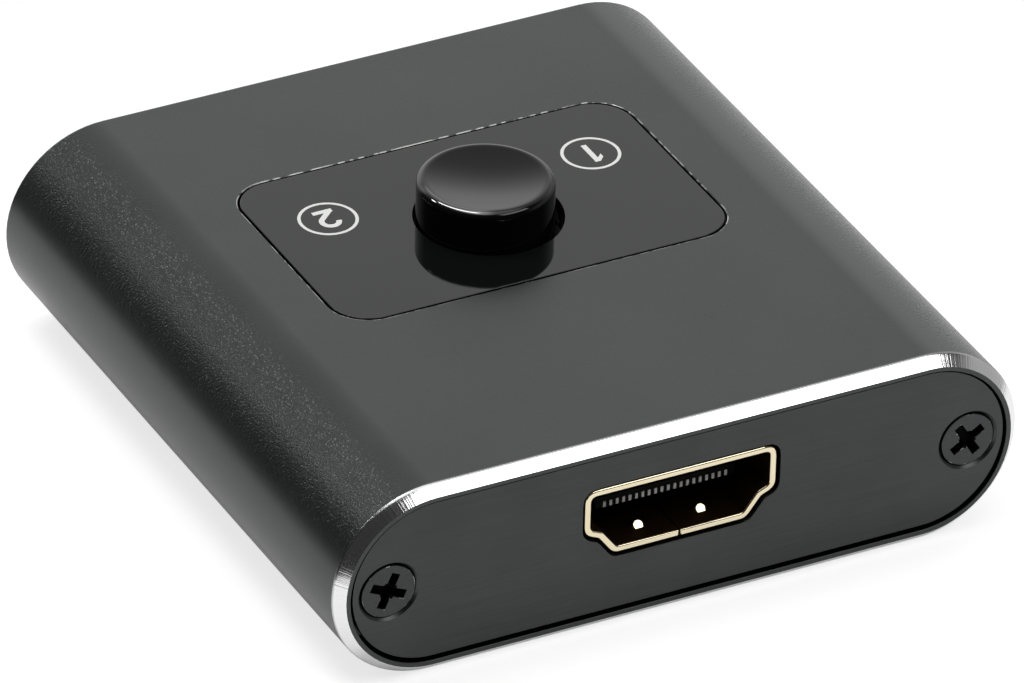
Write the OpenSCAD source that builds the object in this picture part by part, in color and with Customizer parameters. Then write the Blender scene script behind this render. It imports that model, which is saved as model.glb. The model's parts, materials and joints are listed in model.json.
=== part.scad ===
// Two-way video switch box: an extruded aluminium sleeve closed by two screwed end plates,
// one port in front, two ports behind, and a latching push button in a glossy top panel.
// Millimetres, +Z up. The origin is the middle of the underside, and the front faces -Y.

/* [Sleeve] */
// Outside width of the sleeve
body_w = 53.5; // [50:0.1:60]
// Length of the sleeve, front to back
body_l = 54; // [50:0.1:70]
// Outside height of the sleeve
body_h = 15.2; // [14.6:0.1:18]
// Wall thickness of the sleeve
wall = 1.1; // [0.9:0.05:1.6]
// Bright bevel cut round both ends
edge_chamfer = 0.75; // [0.3:0.05:0.8]
// Radius of the screw channels inside the sleeve
channel_r = 2.1; // [1.9:0.05:2.4]
// Thickness of the ribs inside the sleeve
rib_t = 0.85; // [0.6:0.05:1]
// Depth of the slots that hold the circuit board
slot_depth = 0.95; // [0.6:0.05:1.2]

/* [End plates] */
// Thickness of the end plates
plate_t = 1.6; // [1.4:0.1:2.2]
// How far the plates sit inside the sleeve's ends
plate_recess = 0.15; // [0:0.05:0.5]
// Gap between a plate and the sleeve
plate_gap = 0.2; // [0.12:0.02:0.4]
// How far the plates sit above the middle of the sleeve's ends
plate_rise = 0.1; // [0:0.02:0.1]
// Clearance between a port's lip and its cut-out
port_margin = 0.22; // [0.15:0.01:0.4]

/* [Screws] */
// Thread diameter of the plate screws
screw_d = 2.5; // [2:0.1:2.6]
// Head diameter of the plate screws
head_d = 4.1; // [4:0.1:4.4]
// Diameter of the countersink at a plate's face
sink_d = 4.7; // [4.66:0.02:4.8]
// Length of the screws under the face of the head
screw_l = 8; // [5:0.5:12]
// Distance from the sleeve's side to a screw's axis
screw_inset = 4.1; // [3.9:0.05:4.6]
// Length of the cross recess in a head
cross_l = 2.8; // [2:0.1:3]
// Width of the cross recess
cross_w = 0.65; // [0.4:0.05:0.8]
// Radius of the tapered middle of the recess
core_r = 0.7; // [0.5:0.05:0.9]
// Turn of the cross in the left screw, seen from outside
left_cross_turn = -24; // [-45:1:45]
// Turn of the cross in the right screw, seen from outside
right_cross_turn = 33; // [-45:1:45]

/* [Top panel] */
// Width of the panel's opening in the sleeve
panel_w = 31.2; // [26:0.1:34]
// Length of the panel's opening in the sleeve
panel_l = 19.8; // [16:0.1:24]
// Corner radius of the opening
panel_r = 3.1; // [1.5:0.1:4]
// Place of the opening's middle, front to back
panel_y = 3.95; // [2:0.05:6]
// How far the panel's face lies below the sleeve's top
panel_drop = 0; // [0:0.05:0.4]
// Thickness of the flange that is glued under the sleeve's top
flange_t = 0.8; // [0.6:0.1:1]
// Width of that flange
flange_w = 1.2; // [0.8:0.1:2]
// Diameter of the button's hole
hole_d = 10.8; // [10.7:0.1:11.2]
// Place of the hole's middle, left to right
hole_x = 0.08; // [-0.2:0.02:0.2]

/* [Button] */
// Diameter of the button cap
cap_d = 9.9; // [9.4:0.1:10]
// Height of the cap above the panel
cap_proud = 3.2; // [2.6:0.1:4]
// Travel of the button
travel = 2; // [1.5:0.1:2.2]
// Place of the button, front to back
button_y = 3.1; // [2:0.05:5]
// How far the cap stands to the left of its hole's middle
cap_shift = 0.3; // [0:0.02:0.3]
// Radius of the cap's top edge
cap_edge_r = 0.6; // [0.2:0.05:0.8]
// Depth of the finger dish in the cap
dish_depth = 0.4; // [0.2:0.05:0.6]
// Side wall of the hollow cap
cap_wall = 0.65; // [0.5:0.05:0.7]
// Thickness of the cap's roof at the rim
cap_roof = 1.2; // [1:0.1:1.6]
// Thickness of the rim that keeps the cap under the panel
rim_t = 0.7; // [0.5:0.1:1]
// Width of that rim
rim_w = 1; // [0.8:0.1:1.2]

/* [Push switch] */
// Side of the square push switch
switch_w = 5.8; // [5.6:0.1:5.9]
// Height of the switch above the circuit board
switch_h = 6.8; // [6.5:0.1:7]
// Thickness of the switch's base
base_t = 1; // [0.9:0.05:1.2]
// Wall thickness of the switch's housing
housing_wall = 0.4; // [0.3:0.05:0.45]
// Thickness of the housing's roof
housing_roof = 0.5; // [0.4:0.05:0.6]
// Side of the plunger's square stem
stem_w = 3; // [2.8:0.1:3.1]
// Width of the plunger's slider between its contacts
slider_w = 3.4; // [3.3:0.05:3.5]
// Outside diameter of the return spring
spring_d = 2.4; // [2:0.1:2.5]
// Wire diameter of the return spring
spring_wire = 0.2; // [0.15:0.01:0.25]
// Turns of the return spring
spring_turns = 5; // [3:1:6]
// Wire diameter of the latch pin
pin_d = 0.3; // [0.25:0.01:0.35]
// Angle through which the latch pin swings
pin_swing = 8; // [6:0.5:9]
// Width of a switch terminal
terminal_w = 0.6; // [0.4:0.05:0.7]
// Thickness of a switch terminal
terminal_t = 0.3; // [0.2:0.05:0.32]
// Spacing of the terminals along a row
terminal_pitch = 1.6; // [1.3:0.1:1.7]

/* [Circuit board] */
// Height of the circuit board's upper face
board_top = 6; // [5.6:0.05:6.4]
// Thickness of the circuit board
board_t = 1.6; // [1.2:0.1:1.6]
// How far the pins stand out under the board
pin_out = 1.2; // [0.6:0.1:1.8]

/* [Ports] */
// Width of a port's opening
port_w = 14; // [13.8:0.05:14.2]
// Height of a port's opening
port_h = 4.55; // [4.4:0.05:4.7]
// Width of the opening's flat bottom
port_foot_w = 9.9; // [9.4:0.1:10.4]
// Straight height of the opening's sides
port_side_h = 2.7; // [2.4:0.05:2.9]
// Width of a port's shoulder step
shoulder_w = 0.95; // [0.8:0.05:1.1]
// Drop of a port's shoulder step
shoulder_drop = 0.4; // [0.3:0.05:0.6]
// Sheet thickness of a port's shell
shell_t = 0.3; // [0.2:0.05:0.35]
// Width of the gilt lip round a port's mouth
lip_w = 0.5; // [0.4:0.05:0.6]
// Depth of that lip
lip_t = 0.35; // [0.25:0.05:0.5]
// Length of a port's shell
port_l = 11.2; // [10.5:0.1:12]
// How far the lips sit inside the sleeve's ends
port_recess = 0.3; // [0.2:0.05:0.6]
// Distance from the middle to each rear port
rear_port_x = 10.5; // [9:0.1:11]
// Depth of the tongue behind the lip
tongue_depth = 2.35; // [2:0.05:3]
// Width of the tongue
tongue_w = 11; // [10.4:0.1:12]
// Thickness of the tongue
tongue_t = 0.9; // [0.7:0.05:1.2]
// Depth where the insulator's block begins
block_depth = 7; // [6.5:0.1:8]
// Spacing of the contacts in a row
contact_pitch = 1; // [0.9:0.01:1.05]
// Width of a contact
contact_w = 0.3; // [0.2:0.02:0.34]
// Thickness of a contact
contact_t = 0.15; // [0.1:0.01:0.2]
// Number of contacts on top of the tongue
upper_contact_count = 10; // [6:1:11]
// Number of contacts under the tongue
lower_contact_count = 9; // [5:1:10]
// Distance from a port's middle to its grip bumps
bump_x = 2.45; // [2:0.05:3]
// Depth of the grip bumps behind the lip
bump_depth = 1.8; // [1.5:0.05:2.2]
// Width of a grip bump
bump_w = 1; // [0.6:0.1:1.4]
// Height of a grip bump
bump_h = 0.45; // [0.2:0.05:0.5]
// Distance from a bump's middle to the flat pressed on its front
bump_flat = 0.33; // [0.3:0.01:0.45]
// Slant of that flat
bump_slant = 45; // [30:5:60]
// Width of a shell's board legs
leg_w = 1; // [0.8:0.1:1.2]

/* [Board parts] */
// Width of the routing chip
chip_w = 9; // [7:0.1:10]
// Length of the routing chip
chip_l = 3.5; // [3:0.1:5]
// Height of the routing chip
chip_h = 0.8; // [0.6:0.1:1.2]
// Distance from the push switch to the routing chip's middle
chip_back = 9; // [7:0.1:9.5]
// Distance from the middle to each indicator light
light_x = 10.45; // [9:0.05:11]
// Distance of the indicator lights behind the button
light_y = 4.35; // [3:0.05:5]
// Length of a small board part
small_l = 1.6; // [1.2:0.1:1.8]
// Width of a small board part
small_w = 0.8; // [0.6:0.05:1]
// Spacing of the small board parts
small_pitch = 1.8; // [1.6:0.1:2.2]

/* [Clearances] */
// Clearance between the panel and its opening
seam = 0.16; // [0.1:0.02:0.3]
// Clearance of the circuit board in its slots
board_clear = 0.05; // [0.03:0.01:0.1]
// Clearance of a pin or leg in its board hole
hole_clear = 0.15; // [0.1:0.01:0.2]
// Clearance of fixed pieces that fit together
fit_clear = 0.04; // [0.02:0.01:0.06]
// Clearance of moving pieces
run_clear = 0.1; // [0.06:0.01:0.12]

/* [Hidden] */
$fn = 48;

// cut is added where a cutting shape must pass a face
cut = 1;
mid_z = body_h / 2;
arc_x = body_w / 2 - mid_z;
screw_x = body_w / 2 - screw_inset;
face_y = body_l / 2;
plate_y = face_y - plate_recess;
seat_y = plate_y - plate_t;

board_low = board_top - board_t;
slot_x = screw_x - channel_r + rib_t - slot_depth / 2;
rail_x = slot_x - slot_depth;
board_half_w = slot_x - board_clear;
board_end_gap = 0.3;
board_half_l = seat_y - board_end_gap;

panel_top = body_h - panel_drop;
panel_under = body_h - wall - flange_t;

button_x = hole_x - cap_shift;
cap_top = panel_top + cap_proud;
cap_inside_r = cap_d / 2 - cap_wall;
cap_ceiling = cap_top - cap_roof;
rim_top = panel_under - run_clear;

base_top = board_top + base_t;
housing_top = board_top + switch_h;
housing_ceiling = housing_top - housing_roof;
housing_inside = switch_w / 2 - housing_wall;
slider_top = housing_ceiling - run_clear;
slider_low = base_top + travel + run_clear;
slider_front = -2.2;
slider_back = 1.6;
socket_wall = 0.4;
stem_top = cap_ceiling - fit_clear;
spring_y = -0.4;
spring_room = 0.15;
spring_roof_t = 1;
spring_roof = slider_top - spring_roof_t;
spigot_h = 0.5;

pin_gap = 0.5;
pin_y = slider_back + pin_gap;
pin_reach = 0.8;
pin_seat = 0.4;
pin_low = base_top - pin_seat;
track_margin = 0.45;
track_start = slider_low + track_margin;
pin_arm = track_start - pin_low;
track_side = pin_arm * sin(pin_swing);
track_end = track_start + travel;
track_w = pin_d + 2 * run_clear;
track_floor = pin_y - pin_reach - run_clear;

// The moving contact strips and the dimples that rub along the terminals
strip_t = 0.25;
strip_h = 0.8;
strip_rise = 0.9;
strip_shift = 0.2;
strip_low = slider_low + strip_rise;
dimple_r = 0.2;
dimple_reach = 0.15;
terminal_x = slider_w / 2 + strip_t + dimple_reach + run_clear / 2 + terminal_t / 2;
terminal_drop = 0.6;
common_top = slider_top - terminal_drop;
pad_overlap = 0.3;
rest_pad_low = strip_low - pad_overlap;
pad_over = 0.1;
pressed_pad_top = strip_low - travel + strip_h + pad_over;

port_y = -face_y + port_recess;
tongue_z = shell_t + port_h / 2 - tongue_t / 2;
contact_set = 0.05;
tail_gap = 0.15;
tail_y = port_l + tail_gap;
foot_l = 0.8;
port_back = tail_y + contact_t + foot_l;
leg_places = [4.6, 9.4];
leg_up = 1.2;
seam_slit = 0.12;
curve_steps = 4;
corner_r = 0.45;

// Points of a port's opening, anticlockwise, with z measured from the opening's bottom
shoulder_z = port_h - port_side_h - shoulder_drop;
half_opening = [[port_foot_w / 2, 0], [port_w / 2 - shoulder_w, shoulder_z],
                [port_w / 2, port_h - port_side_h], [port_w / 2, port_h]];
opening = concat(half_opening, [for (i = [3:-1:0]) [-half_opening[i].x, half_opening[i].y]]);

function unit(v) = v / norm(v);
function outward(a, b) = let (e = unit(b - a)) [e.y, -e.x];
function before(p, i) = p[(i + len(p) - 1) % len(p)];
function after(p, i) = p[(i + 1) % len(p)];

// The outline p moved outwards by d
function grown(p, d) = [for (i = [0:len(p) - 1])
    let (n1 = outward(before(p, i), p[i]), n2 = outward(p[i], after(p, i)))
    p[i] + d * (n1 + n2) / (1 + n1 * n2)];

function stands_out(n1, n2) = n1.x * n2.y > n1.y * n2.x;

// The outline p moved outwards by d, with each corner turned into a curve of about corner_r.
// A corner that stands out grows rounder with d, so that the wall between two outlines is even.
function softened(p, d) = let (q = grown(p, d)) [for (i = [0:len(q) - 1])
    let (n1 = outward(before(q, i), q[i]), n2 = outward(q[i], after(q, i)),
         r = stands_out(n1, n2) ? corner_r + d : corner_r,
         t = r * norm(n2 - n1) / norm(n2 + n1),
         s = q[i] + t * unit(before(q, i) - q[i]),
         e = q[i] + t * unit(after(q, i) - q[i]))
    for (k = [0:curve_steps])
    let (u = k / curve_steps) (1 - u) * (1 - u) * s + 2 * u * (1 - u) * q[i] + u * u * e];

// Draws its flat child upright in XZ and stretches it from y0 to y1
module along_y(y0, y1) {
    translate([0, y1, 0])
        rotate([90, 0, 0])
            linear_extrude(y1 - y0)
                children();
}

// Draws its flat child flat and stretches it from z0 to z1
module along_z(z0, z1) {
    translate([0, 0, z0])
        linear_extrude(z1 - z0)
            children();
}

module block(low, high) {
    translate(low)
        cube(high - low);
}

module both_sides() {
    children();
    mirror([1, 0, 0])
        children();
}

// A stadium that lies d inside the sleeve's outside
module section(d) {
    r = mid_z - d;
    translate([-arc_x, d])
        square([2 * arc_x, 2 * r]);
    for (s = [-1, 1])
        translate([s * arc_x, mid_z])
            circle(r);
}

module rounded_rect(w, l, r) {
    square([w - 2 * r, l], center = true);
    square([w, l - 2 * r], center = true);
    for (x = [-1, 1], y = [-1, 1])
        translate([x * (w / 2 - r), y * (l / 2 - r)])
            circle(r);
}

module port_outline(d) {
    translate([0, shell_t])
        polygon(softened(opening, d));
}

// Puts a port's pieces, drawn with the lip at y = 0 and the board at z = 0, in their place
module at_port(x, turn) {
    rotate([0, 0, turn])
        translate([x * cos(turn), port_y, board_top])
            children();
}

module at_button() {
    translate([button_x, button_y, 0])
        children();
}

// Sleeve

module sleeve_outside() {
    side = [[-face_y, edge_chamfer], [-face_y + edge_chamfer, 0], [face_y - edge_chamfer, 0],
            [face_y, edge_chamfer], [face_y, body_h - edge_chamfer], [face_y - edge_chamfer, body_h],
            [-face_y + edge_chamfer, body_h], [-face_y, body_h - edge_chamfer]];
    turned = [[0, -face_y], [mid_z - edge_chamfer, -face_y], [mid_z, -face_y + edge_chamfer],
              [mid_z, face_y - edge_chamfer], [mid_z - edge_chamfer, face_y], [0, face_y]];
    translate([-arc_x, 0, 0])
        rotate([90, 0, 90])
            linear_extrude(2 * arc_x)
                polygon(side);
    for (s = [-1, 1])
        translate([s * arc_x, 0, mid_z])
            rotate([90, 0, 0])
                rotate_extrude()
                    polygon(turned);
}

// The screw channel and the board slot along one inside wall
module rail_section() {
    wall_x = body_w / 2 - wall / 2;
    web_h = 2 * rib_t;
    slot_low = board_low - board_clear;
    slot_high = board_top + board_clear;
    difference() {
        intersection() {
            union() {
                translate([screw_x, mid_z])
                    circle(channel_r);
                translate([screw_x, mid_z - web_h / 2])
                    square([wall_x - screw_x, web_h]);
                translate([rail_x, slot_low - rib_t])
                    square([wall_x - rail_x, rib_t]);
                translate([slot_x, slot_low - rib_t])
                    square([rib_t, mid_z - slot_low + rib_t]);
                translate([rail_x, slot_high])
                    square([screw_x - rail_x, rib_t]);
            }
            section(wall / 2);
        }
        translate([rail_x - cut, slot_low])
            square([slot_depth + cut, slot_high - slot_low]);
    }
}

module sleeve() {
    color("#3b3c3d")
        difference() {
            union() {
                difference() {
                    sleeve_outside();
                    along_y(-face_y - cut, face_y + cut)
                        section(wall);
                }
                both_sides()
                    along_y(-seat_y, seat_y)
                        rail_section();
            }
            both_sides()
                translate([screw_x, face_y, mid_z])
                    rotate([90, 0, 0])
                        cylinder(h = body_l, d = screw_d + 2 * fit_clear);
            translate([0, panel_y, 0])
                along_z(body_h - wall - cut / 2, body_h + cut)
                    rounded_rect(panel_w, panel_l, panel_r);
        }
}

// End plates and screws

head_sink = 0.08;
head_rim = (sink_d - head_d) / 2 - head_sink - fit_clear;
cone_h = (head_d - screw_d) / 2;
hole_r = screw_d / 2 + fit_clear;

// Turned outline of a countersunk screw hole, from the plate's face inwards
module screw_hole_profile() {
    polygon([[0, -cut], [sink_d / 2 + cut, -cut], [hole_r, sink_d / 2 - hole_r],
             [hole_r, plate_t + cut], [0, plate_t + cut]]);
}

module end_plate(port_places) {
    difference() {
        translate([0, 0, plate_rise])
            along_y(-plate_y, -seat_y)
                section(wall + plate_gap);
        both_sides()
            translate([screw_x, -plate_y, mid_z])
                rotate([-90, 0, 0])
                    rotate_extrude()
                        screw_hole_profile();
        for (x = port_places)
            translate([x, 0, board_top])
                along_y(-plate_y - cut, -seat_y + cut)
                    port_outline(lip_w + port_margin);
    }
}

module plate_screw(turn) {
    translate([0, -plate_y + head_sink, mid_z])
        difference() {
            rotate([-90, 0, 0])
                rotate_extrude()
                    polygon([[0, 0], [head_d / 2, 0], [head_d / 2, head_rim],
                             [screw_d / 2, head_rim + cone_h], [screw_d / 2, screw_l], [0, screw_l]]);
            for (a = [turn, turn + 90])
                rotate([0, -a, 0])
                    block([-cross_l / 2, -cut, -cross_w / 2], [cross_l / 2, cone_h, cross_w / 2]);
            rotate([-90, 0, 0])
                rotate_extrude()
                    polygon([[0, -cut], [core_r, -cut], [core_r, 0], [0, cone_h]]);
        }
}

module screw_pair() {
    translate([-screw_x, 0, 0])
        plate_screw(left_cross_turn);
    translate([screw_x, 0, 0])
        plate_screw(right_cross_turn);
}

module front_plate() {
    color("#2b2c2d")
        end_plate([0]);
}

module rear_plate() {
    color("#2b2c2d")
        rotate([0, 0, 180])
            end_plate([-rear_port_x, rear_port_x]);
}

module front_screws() {
    color("#1e1f20")
        screw_pair();
}

module rear_screws() {
    color("#1e1f20")
        rotate([0, 0, 180])
            screw_pair();
}

// Top panel and button

module top_panel() {
    color("#0c0d0e")
        difference() {
            translate([0, panel_y, 0]) {
                along_z(panel_under, body_h - wall)
                    rounded_rect(panel_w + 2 * flange_w, panel_l + 2 * flange_w, panel_r + flange_w);
                along_z(panel_under, panel_top)
                    rounded_rect(panel_w - 2 * seam, panel_l - 2 * seam, panel_r - seam);
            }
            translate([hole_x, button_y, panel_under - cut])
                cylinder(h = panel_top - panel_under + 2 * cut, d = hole_d);
        }
}

module button_cap() {
    edge_x = cap_d / 2 - cap_edge_r;
    edge_z = cap_top - cap_edge_r;
    dish_r = edge_x;
    dish_ball = (dish_r * dish_r + dish_depth * dish_depth) / (2 * dish_depth);
    socket_low = housing_top + travel + run_clear;
    socket_r = stem_w / 2 * sqrt(2) + socket_wall;
    color("#0a0a0b")
        at_button()
            difference() {
                union() {
                    difference() {
                        rotate_extrude() {
                            translate([0, rim_top])
                                square([cap_d / 2, edge_z - rim_top]);
                            translate([0, rim_top])
                                square([edge_x, cap_top - rim_top]);
                            translate([edge_x, edge_z])
                                circle(cap_edge_r);
                            translate([0, rim_top - rim_t])
                                square([cap_d / 2 + rim_w, rim_t]);
                        }
                        translate([0, 0, rim_top - rim_t - cut])
                            cylinder(h = cap_ceiling - rim_top + rim_t + cut, r = cap_inside_r);
                    }
                    translate([0, 0, socket_low])
                        cylinder(h = cap_ceiling - socket_low + fit_clear, r = socket_r);
                }
                block([-stem_w / 2 - fit_clear, -stem_w / 2 - fit_clear, socket_low - cut],
                      [stem_w / 2 + fit_clear, stem_w / 2 + fit_clear, cap_ceiling]);
                translate([0, 0, cap_top - dish_depth + dish_ball])
                    sphere(dish_ball, $fn = 96);
            }
}

// Push switch

// One straight stretch of the latch track, cut into the slider's back face
module track_leg(a, b) {
    run = b - a;
    for (p = [a, b])
        translate([p.x, track_floor, p.y])
            rotate([-90, 0, 0])
                cylinder(h = pin_y - track_floor, d = track_w);
    translate([a.x, track_floor, a.y])
        rotate([0, -atan2(run.y, run.x), 0])
            block([0, 0, -track_w / 2], [norm(run), pin_y - track_floor, track_w / 2]);
}

module switch_plunger() {
    start = [0, track_start];
    right = [track_side, track_end];
    left = [-track_side, track_end];
    color("#e8e6df")
        at_button()
            difference() {
                union() {
                    block([-slider_w / 2, slider_front, slider_low],
                          [slider_w / 2, slider_back, slider_top]);
                    block([-stem_w / 2, -stem_w / 2, slider_top - run_clear],
                          [stem_w / 2, stem_w / 2, stem_top]);
                }
                translate([0, spring_y, slider_low - cut])
                    cylinder(h = spring_roof - slider_low + cut, d = spring_d + 2 * spring_room);
                track_leg(start, right);
                track_leg(start, left);
                track_leg(left, right);
            }
}

module moving_contacts() {
    color("#c9a24a")
        at_button()
            both_sides()
                translate([slider_w / 2, 0, strip_low]) {
                    block([0, slider_front + strip_shift, 0],
                          [strip_t, slider_back + strip_shift, strip_h]);
                    for (k = [-1:1])
                        translate([strip_t + dimple_reach - dimple_r, k * terminal_pitch, strip_h / 2])
                            sphere(dimple_r, $fn = 24);
                }
}

module latch_pin() {
    r = pin_d / 2;
    color("#b9bbbd")
        at_button() {
            translate([0, pin_y, pin_low])
                cylinder(h = pin_arm, r = r);
            for (z = [pin_low, pin_low + pin_arm]) {
                translate([0, pin_y, z])
                    sphere(r, $fn = 24);
                translate([0, pin_y, z])
                    rotate([90, 0, 0])
                        cylinder(h = pin_reach, r = r);
            }
        }
}

spring_sides = 6;
rings_per_turn = 12;
spring_rings = spring_turns * rings_per_turn;
spring_low = base_top + spring_wire / 2 + fit_clear;
spring_high = spring_roof - spring_wire / 2 - fit_clear;
spring_pitch = (spring_high - spring_low) / spring_turns;
spring_mid_r = (spring_d - spring_wire) / 2;

function spring_point(i, k) =
    let (a = 360 * i / rings_per_turn, t = 360 * k / spring_sides,
         r = spring_mid_r + spring_wire / 2 * cos(t))
    [r * cos(a), r * sin(a), spring_low + spring_pitch * i / rings_per_turn + spring_wire / 2 * sin(t)];

module return_spring() {
    n = spring_sides;
    last = spring_rings * n;
    points = [for (i = [0:spring_rings], k = [0:n - 1]) spring_point(i, k)];
    walls = [for (i = [0:spring_rings - 1], k = [0:n - 1], half = [0, 1])
        let (p = i * n + k, q = i * n + (k + 1) % n)
        half == 0 ? [p, q, q + n] : [p, q + n, p + n]];
    ends = [for (k = [1:n - 2], side = [0, 1])
        side == 0 ? [0, k + 1, k] : [last, last + k, last + k + 1]];
    color("#c4c6c8")
        at_button()
            translate([0, spring_y, 0])
                polyhedron(points, concat(walls, ends));
}

module switch_housing() {
    s = switch_w / 2;
    h = housing_inside;
    g = stem_w / 2 + run_clear;
    color("#1b1c1e")
        at_button()
            difference() {
                block([-s, -s, base_top], [s, s, housing_top]);
                block([-h, -h, base_top - cut], [h, h, housing_ceiling]);
                block([-g, -g, housing_ceiling - cut], [g, g, housing_top + cut]);
            }
}

module switch_base() {
    s = switch_w / 2;
    notch = pin_d / 2 + run_clear;
    c = fit_clear;
    color("#3a2c22")
        at_button()
            difference() {
                union() {
                    block([-s, -s, board_top], [s, s, base_top]);
                    translate([0, spring_y, base_top])
                        cylinder(h = spigot_h, d = spring_d - 2 * spring_wire - 2 * spring_room);
                }
                for (x = [-1, 1], k = [-1:1])
                    translate([x * terminal_x, k * terminal_pitch, 0])
                        block([-terminal_t / 2 - c, -terminal_w / 2 - c, board_top - cut],
                              [terminal_t / 2 + c, terminal_w / 2 + c, base_top + cut]);
                block([-notch, pin_y - notch, pin_low - notch], [notch, pin_y + notch, base_top + cut]);
                translate([0, pin_y, pin_low])
                    rotate([90, 0, 0])
                        cylinder(h = pin_reach + run_clear, r = pin_d / 2 + c);
            }
}

module switch_terminals() {
    t = terminal_t / 2;
    w = terminal_w / 2;
    low = board_low - pin_out;
    color("#b08d3c")
        at_button()
            both_sides()
                translate([terminal_x, 0, 0]) {
                    block([-t, -w, low], [t, w, common_top]);
                    translate([0, terminal_pitch, 0])
                        block([-t, -w, low], [t, w, pressed_pad_top]);
                    translate([0, -terminal_pitch, 0]) {
                        block([0, -w, low], [t, w, common_top]);
                        block([-t, -w, rest_pad_low], [t, w, common_top]);
                        block([-t, -w, low], [t, w, base_top]);
                    }
                }
}

// Circuit board

module leg_slots() {
    c = hole_clear;
    for (s = [-1, 1], y = leg_places)
        translate([s * (port_w / 2 + shell_t / 2), y, 0])
            block([-shell_t / 2 - c, -leg_w / 2 - c, -board_t - cut],
                  [shell_t / 2 + c, leg_w / 2 + c, cut]);
}

module circuit_board() {
    color("#12351f")
        difference() {
            block([-board_half_w, -board_half_l, board_low], [board_half_w, board_half_l, board_top]);
            at_port(0, 0)
                leg_slots();
            for (x = [-rear_port_x, rear_port_x])
                at_port(x, 180)
                    leg_slots();
            at_button()
                for (x = [-1, 1], k = [-1:1])
                    translate([x * terminal_x, k * terminal_pitch, board_low - cut])
                        cylinder(h = board_t + 2 * cut, d = terminal_w + 2 * hole_clear);
        }
}

// Ports

// A grip bump: part of a ball on the shell's floor, pressed flat where it looks up and forward
module grip_bump() {
    ball = (bump_w * bump_w / 4 + bump_h * bump_h) / (2 * bump_h);
    intersection() {
        translate([0, 0, shell_t + bump_h - ball])
            intersection() {
                sphere(ball);
                rotate([bump_slant, 0, 0])
                    block([-bump_w, -bump_w, -bump_w], [bump_w, bump_w, bump_flat]);
            }
        block([-bump_w, -bump_w, shell_t / 2], [bump_w, bump_w, port_h]);
    }
}

module port_shell() {
    color("#d8b45c")
        difference() {
            union() {
                difference() {
                    union() {
                        along_y(0, lip_t)
                            port_outline(lip_w);
                        along_y(lip_t / 2, port_l)
                            port_outline(shell_t);
                    }
                    along_y(-cut, port_l + cut)
                        port_outline(0);
                }
                for (s = [-1, 1]) {
                    for (y = leg_places)
                        translate([s * (port_w / 2 + shell_t / 2), y, 0])
                            block([-shell_t / 2, -leg_w / 2, -board_t - pin_out],
                                  [shell_t / 2, leg_w / 2, shell_t + port_h - port_side_h + leg_up]);
                    translate([s * bump_x, bump_depth, 0])
                        grip_bump();
                }
            }
            block([-seam_slit / 2, -cut, -cut], [seam_slit / 2, port_l + cut, shell_t + fit_clear]);
        }
}

function row_x(n) = [for (i = [0:n - 1]) (i - (n - 1) / 2) * contact_pitch];

// Side outline of a contact: along the tongue at height z, down behind the block, and a foot
module contact_outline(z, c) {
    tip = tongue_depth + contact_set - c;
    polygon([[tip, z - c], [tail_y, z - c], [tail_y, 0], [port_back, 0], [port_back, contact_t],
             [tail_y + contact_t, contact_t], [tail_y + contact_t, z + contact_t + c],
             [tip, z + contact_t + c]]);
}

// One row's contacts, each c wider than the metal
module contact_row(n, z, c) {
    for (x = row_x(n))
        translate([x - contact_w / 2 - c, 0, 0])
            rotate([90, 0, 90])
                linear_extrude(contact_w + 2 * c)
                    contact_outline(z, c);
}

module port_contacts() {
    color("#d9b65a") {
        contact_row(upper_contact_count, tongue_z + tongue_t - contact_t, 0);
        contact_row(lower_contact_count, tongue_z, 0);
    }
}

module port_insulator() {
    color("#141415")
        difference() {
            union() {
                along_y(block_depth, port_l)
                    port_outline(-fit_clear);
                block([-tongue_w / 2, tongue_depth, tongue_z],
                      [tongue_w / 2, block_depth + cut, tongue_z + tongue_t]);
            }
            contact_row(upper_contact_count, tongue_z + tongue_t - contact_t, fit_clear);
            contact_row(lower_contact_count, tongue_z, fit_clear);
        }
}

module front_port_shell() {
    at_port(0, 0)
        port_shell();
}

module front_port_insulator() {
    at_port(0, 0)
        port_insulator();
}

module front_port_contacts() {
    at_port(0, 0)
        port_contacts();
}

module left_port_shell() {
    at_port(-rear_port_x, 180)
        port_shell();
}

module left_port_insulator() {
    at_port(-rear_port_x, 180)
        port_insulator();
}

module left_port_contacts() {
    at_port(-rear_port_x, 180)
        port_contacts();
}

module right_port_shell() {
    at_port(rear_port_x, 180)
        port_shell();
}

module right_port_insulator() {
    at_port(rear_port_x, 180)
        port_insulator();
}

module right_port_contacts() {
    at_port(rear_port_x, 180)
        port_contacts();
}

// Board parts

chip_y = button_y - chip_back;

// A small part with its middle at p, sitting on the board
module small_part(p, size) {
    translate([p.x - size.x / 2, p.y - size.y / 2, board_top])
        cube(size);
}

module routing_chip() {
    color("#161617")
        small_part([0, chip_y], [chip_w, chip_l, chip_h]);
}

regulator_size = [2.9, 1.6, 1.1];
regulator_x = 13;
lead_w = 0.4;
lead_l = 0.6;
lead_t = 0.2;
lead_root = 0.1;
lead_pitch = 0.95;

module regulator() {
    at = [regulator_x, chip_y];
    color("#1a1a1b") {
        small_part(at, regulator_size);
        for (k = [-1:1], s = [-1, 1])
            if (s < 0 || k != 0)
                small_part([at.x + k * lead_pitch, at.y + s * (regulator_size.y + lead_l) / 2],
                           [lead_w, lead_l + lead_root, lead_t]);
    }
}

row_part_count = 4;
row_gap = 2;
row_start = chip_w / 2 + row_gap;
capacitor_back = 4;
resistor_front = 3;
surge_size = [2.5, 1, 0.5];
surge_gap = 2;
surge_y = port_y + port_back + surge_gap;
light_size = [1.6, 1.2, 0.8];

module capacitors() {
    color("#a98a5f")
        for (i = [0:row_part_count - 1], s = [-1, 1])
            small_part([s * (row_start + i * small_pitch), chip_y + capacitor_back],
                       [small_w, small_l, small_w]);
}

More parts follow.
